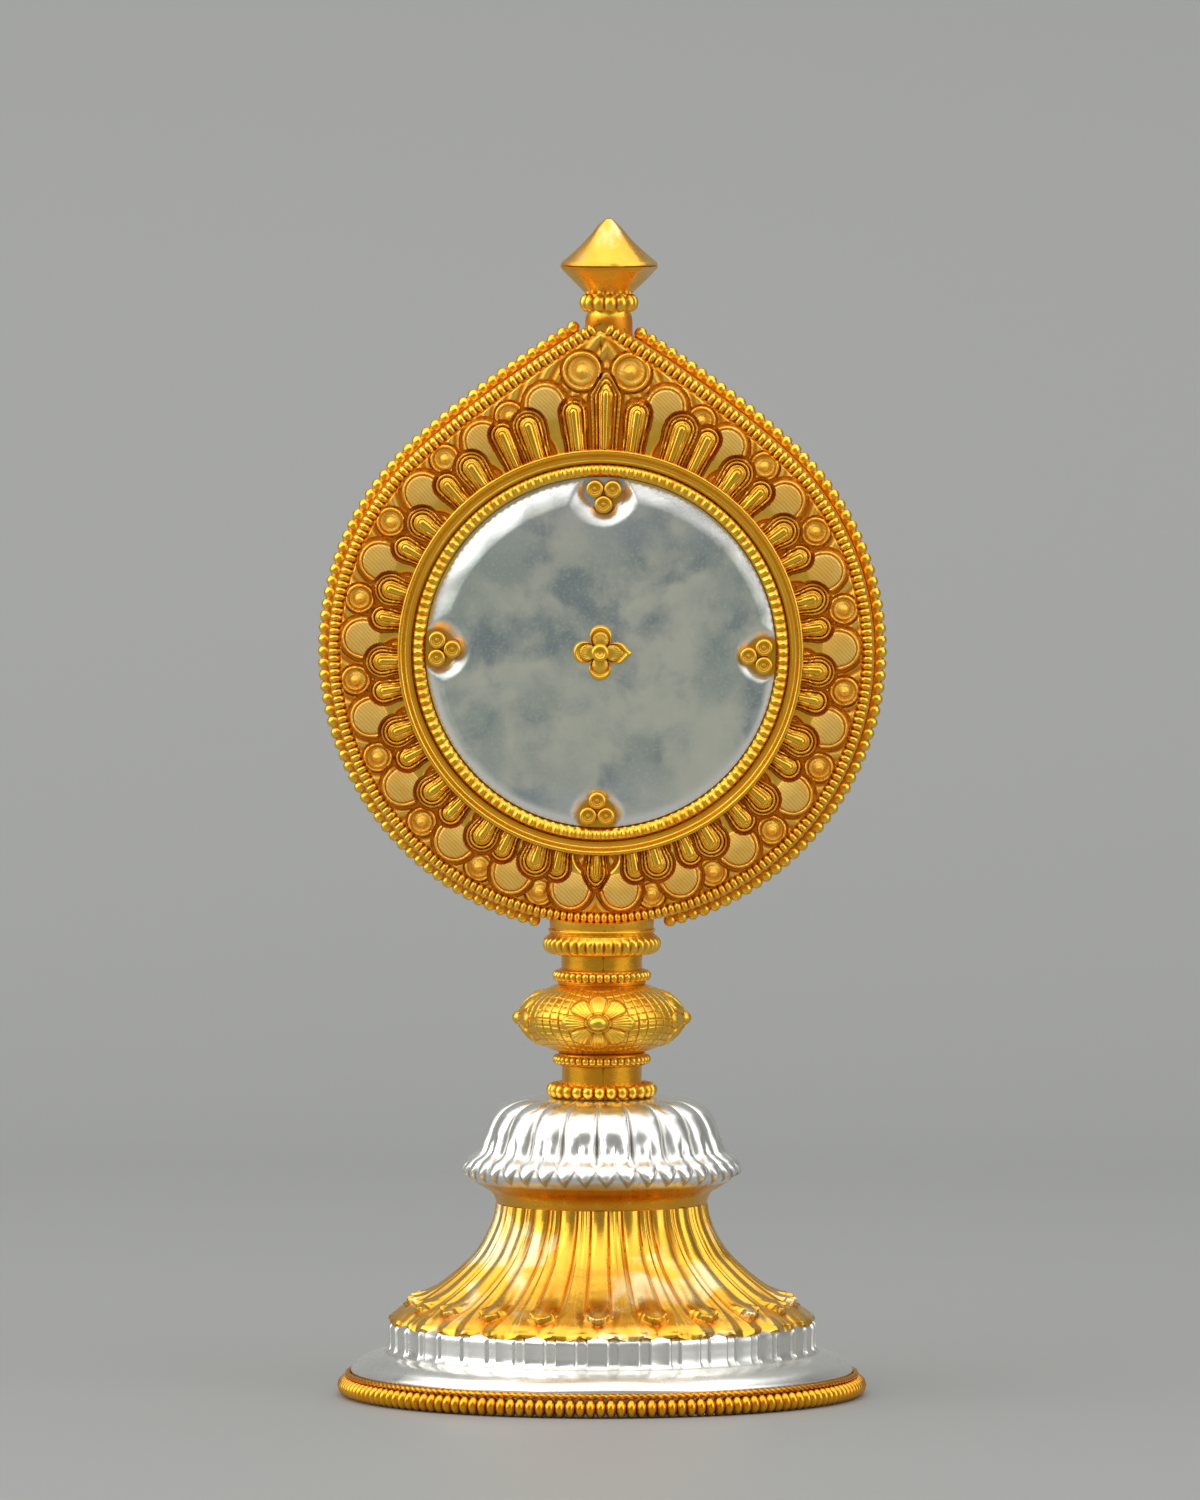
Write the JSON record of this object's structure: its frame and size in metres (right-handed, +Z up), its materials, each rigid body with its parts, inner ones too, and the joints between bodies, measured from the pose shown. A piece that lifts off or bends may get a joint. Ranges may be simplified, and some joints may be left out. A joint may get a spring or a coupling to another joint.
{
  "type": "ritual mirror",
  "caption": "Free-standing ritual mirror: round silver disc in a pointed gilt foliage frame, on a knop and a lotus foot.",
  "frame": {"origin": "centre of the foot's underside", "axes": "+Z up to the finial, mirror faces -Y, +X to the viewer's right"},
  "size_m": [0.1282, 0.1194, 0.265],
  "materials": {
    "gilt": "burnished gilding, worn in the hollows",
    "pale_gilt": "matt gilding",
    "silver": "tarnished silver",
    "mirror_silver": "polished hammered silver",
    "copper": "plain dull copper"
  },
  "bodies": {
    "root": {"finial_top_cone": "gilt", "finial_bottom_cone": "gilt", "finial_collar": "gilt", "finial_neck": "gilt", "front_plate": "gilt", "front_bead_wire": "gilt", "head_case": "gilt", "outer_bead_wire_right": "gilt", "outer_bead_wire_left": "gilt", "back_plate": "gilt", "mirror_moulding": "gilt", "saddle_collar": "gilt", "neck_upper": "gilt", "knop_ring_upper": "gilt", "knop_upper_shell": "gilt", "knop_lower_shell": "gilt", "knop_ring_lower": "gilt", "neck_lower": "gilt", "lotus_bead_ring": "gilt", "lotus_skirt": "gilt", "centre_flower": "pale_gilt", "centre_flower_boss": "pale_gilt", "trefoil_top": "pale_gilt", "trefoil_right": "pale_gilt", "trefoil_bottom": "pale_gilt", "trefoil_left": "pale_gilt", "knop_flower_front": "pale_gilt", "knop_flower_right": "pale_gilt", "knop_flower_back": "pale_gilt", "knop_flower_left": "pale_gilt", "mirror_bezel": "silver", "lotus_cap": "silver", "fluted_band": "silver", "foot_flange": "silver", "foot_wire": "silver", "foot_bead_wire": "silver", "mirror_disc": "mirror_silver", "base_plate": "copper", "tie_rod": "copper", "rod_washer": "copper", "rod_nut": "copper"}
  },
  "joints": []
}
